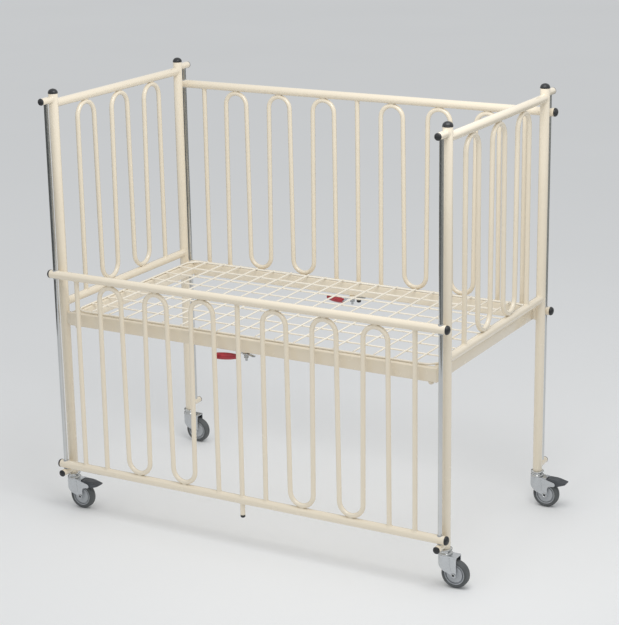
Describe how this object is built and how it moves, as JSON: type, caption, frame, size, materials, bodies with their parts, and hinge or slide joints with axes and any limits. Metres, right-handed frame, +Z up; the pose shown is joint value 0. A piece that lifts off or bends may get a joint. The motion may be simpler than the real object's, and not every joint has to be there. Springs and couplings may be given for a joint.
{
  "type": "pediatric hospital cot",
  "caption": "High-sided hospital cot for a child: enamelled tube frame on swivel castors, wire mesh platform, serpentine end panels and drop-side guards that slide on chromed rods.",
  "frame": {"origin": "on the floor under the middle of the outline's box", "axes": "+X along the cot towards the end that the castors trail to, +Y from the lowered front guard to the raised rear guard, +Z up"},
  "size_m": [1.372, 0.776, 1.286],
  "materials": {
    "cream_enamel": "gloss",
    "chrome_rod": "polished",
    "zinc_steel": "satin",
    "black_plastic": "satin",
    "red_vinyl": "satin",
    "grey_tyre": "matte",
    "grey_hub": "satin",
    "pedal_plastic": "matte"
  },
  "bodies": {
    "frame": {"left_end_panel": "cream_enamel", "left_end_member": "cream_enamel", "right_end_panel": "cream_enamel", "right_end_member": "cream_enamel", "front_long_member": "cream_enamel", "front_latch_bolt": "zinc_steel", "front_left_post": "cream_enamel", "front_left_rod": "chrome_rod", "front_left_post_cap": "black_plastic", "front_left_top_stub_cap": "black_plastic", "front_left_bottom_stub_cap": "black_plastic", "front_right_post": "cream_enamel", "front_right_rod": "chrome_rod", "front_right_post_cap": "black_plastic", "front_right_top_stub_cap": "black_plastic", "front_right_bottom_stub_cap": "black_plastic", "rear_long_member": "cream_enamel", "rear_latch_bolt": "zinc_steel", "rear_left_post": "cream_enamel", "rear_left_rod": "chrome_rod", "rear_left_post_cap": "black_plastic", "rear_left_top_stub_cap": "black_plastic", "rear_left_bottom_stub_cap": "black_plastic", "rear_right_post": "cream_enamel", "rear_right_rod": "chrome_rod", "rear_right_post_cap": "black_plastic", "rear_right_top_stub_cap": "black_plastic", "rear_right_bottom_stub_cap": "black_plastic", "platform_mesh": "cream_enamel"},
    "front_guard": {"front_guard_panel": "cream_enamel", "front_latch_pin": "black_plastic", "front_left_top_rail_cap": "black_plastic", "front_left_bottom_rail_cap": "black_plastic", "front_right_top_rail_cap": "black_plastic", "front_right_bottom_rail_cap": "black_plastic"},
    "front_latch": {"front_latch_lever": "zinc_steel", "front_latch_grip": "red_vinyl"},
    "front_left_castor": {"front_left_castor_fork": "zinc_steel"},
    "front_left_wheel": {"front_left_wheel_hub": "grey_hub", "front_left_wheel_tyre": "grey_tyre"},
    "front_left_pedal": {"front_left_brake_pedal": "pedal_plastic"},
    "front_right_castor": {"front_right_castor_fork": "zinc_steel"},
    "front_right_wheel": {"front_right_wheel_hub": "grey_hub", "front_right_wheel_tyre": "grey_tyre"},
    "rear_guard": {"rear_guard_panel": "cream_enamel", "rear_latch_pin": "black_plastic", "rear_left_top_rail_cap": "black_plastic", "rear_left_bottom_rail_cap": "black_plastic", "rear_right_top_rail_cap": "black_plastic", "rear_right_bottom_rail_cap": "black_plastic"},
    "rear_latch": {"rear_latch_lever": "zinc_steel", "rear_latch_grip": "red_vinyl"},
    "rear_left_castor": {"rear_left_castor_fork": "zinc_steel"},
    "rear_left_wheel": {"rear_left_wheel_hub": "grey_hub", "rear_left_wheel_tyre": "grey_tyre"},
    "rear_right_castor": {"rear_right_castor_fork": "zinc_steel"},
    "rear_right_wheel": {"rear_right_wheel_hub": "grey_hub", "rear_right_wheel_tyre": "grey_tyre"},
    "rear_right_pedal": {"rear_right_brake_pedal": "pedal_plastic"}
  },
  "joints": [
    {"name": "front_guard_slide", "type": "slide", "parent": "frame", "child": "front_guard", "axis": [0, 0, 1], "range_m": [0, 0.4863]},
    {"name": "rear_guard_slide", "type": "slide", "parent": "frame", "child": "rear_guard", "axis": [0, 0, 1], "range_m": [-0.4563, 0.03]},
    {"name": "front_latch_turn", "type": "hinge", "parent": "frame", "child": "front_latch", "pos_m": [-0.035, -0.318, 0.575], "axis": [0, 0, -1], "range_deg": [0, 48]},
    {"name": "rear_latch_turn", "type": "hinge", "parent": "frame", "child": "rear_latch", "pos_m": [-0.035, 0.318, 0.575], "axis": [0, 0, 1], "range_deg": [0, 66]},
    {"name": "front_left_swivel", "type": "hinge", "parent": "frame", "child": "front_left_castor", "pos_m": [-0.66, -0.325, 0.0985], "axis": [0, 0, 1], "continuous": true},
    {"name": "front_left_roll", "type": "hinge", "parent": "front_left_castor", "child": "front_left_wheel", "pos_m": [-0.629, -0.325, 0.04], "axis": [0, 1, 0], "continuous": true},
    {"name": "front_left_pedal_press", "type": "hinge", "parent": "front_left_castor", "child": "front_left_pedal", "pos_m": [-0.603, -0.325, 0.077], "axis": [0, 1, 0], "range_deg": [0, 10]},
    {"name": "front_right_swivel", "type": "hinge", "parent": "frame", "child": "front_right_castor", "pos_m": [0.59, -0.325, 0.0985], "axis": [0, 0, 1], "continuous": true},
    {"name": "front_right_roll", "type": "hinge", "parent": "front_right_castor", "child": "front_right_wheel", "pos_m": [0.621, -0.325, 0.04], "axis": [0, 1, 0], "continuous": true},
    {"name": "rear_left_swivel", "type": "hinge", "parent": "frame", "child": "rear_left_castor", "pos_m": [-0.66, 0.325, 0.0985], "axis": [0, 0, 1], "continuous": true},
    {"name": "rear_left_roll", "type": "hinge", "parent": "rear_left_castor", "child": "rear_left_wheel", "pos_m": [-0.629, 0.325, 0.04], "axis": [0, 1, 0], "continuous": true},
    {"name": "rear_right_swivel", "type": "hinge", "parent": "frame", "child": "rear_right_castor", "pos_m": [0.59, 0.325, 0.0985], "axis": [0, 0, 1], "continuous": true},
    {"name": "rear_right_roll", "type": "hinge", "parent": "rear_right_castor", "child": "rear_right_wheel", "pos_m": [0.621, 0.325, 0.04], "axis": [0, 1, 0], "continuous": true},
    {"name": "rear_right_pedal_press", "type": "hinge", "parent": "rear_right_castor", "child": "rear_right_pedal", "pos_m": [0.647, 0.325, 0.077], "axis": [0, 1, 0], "range_deg": [0, 10]}
  ]
}
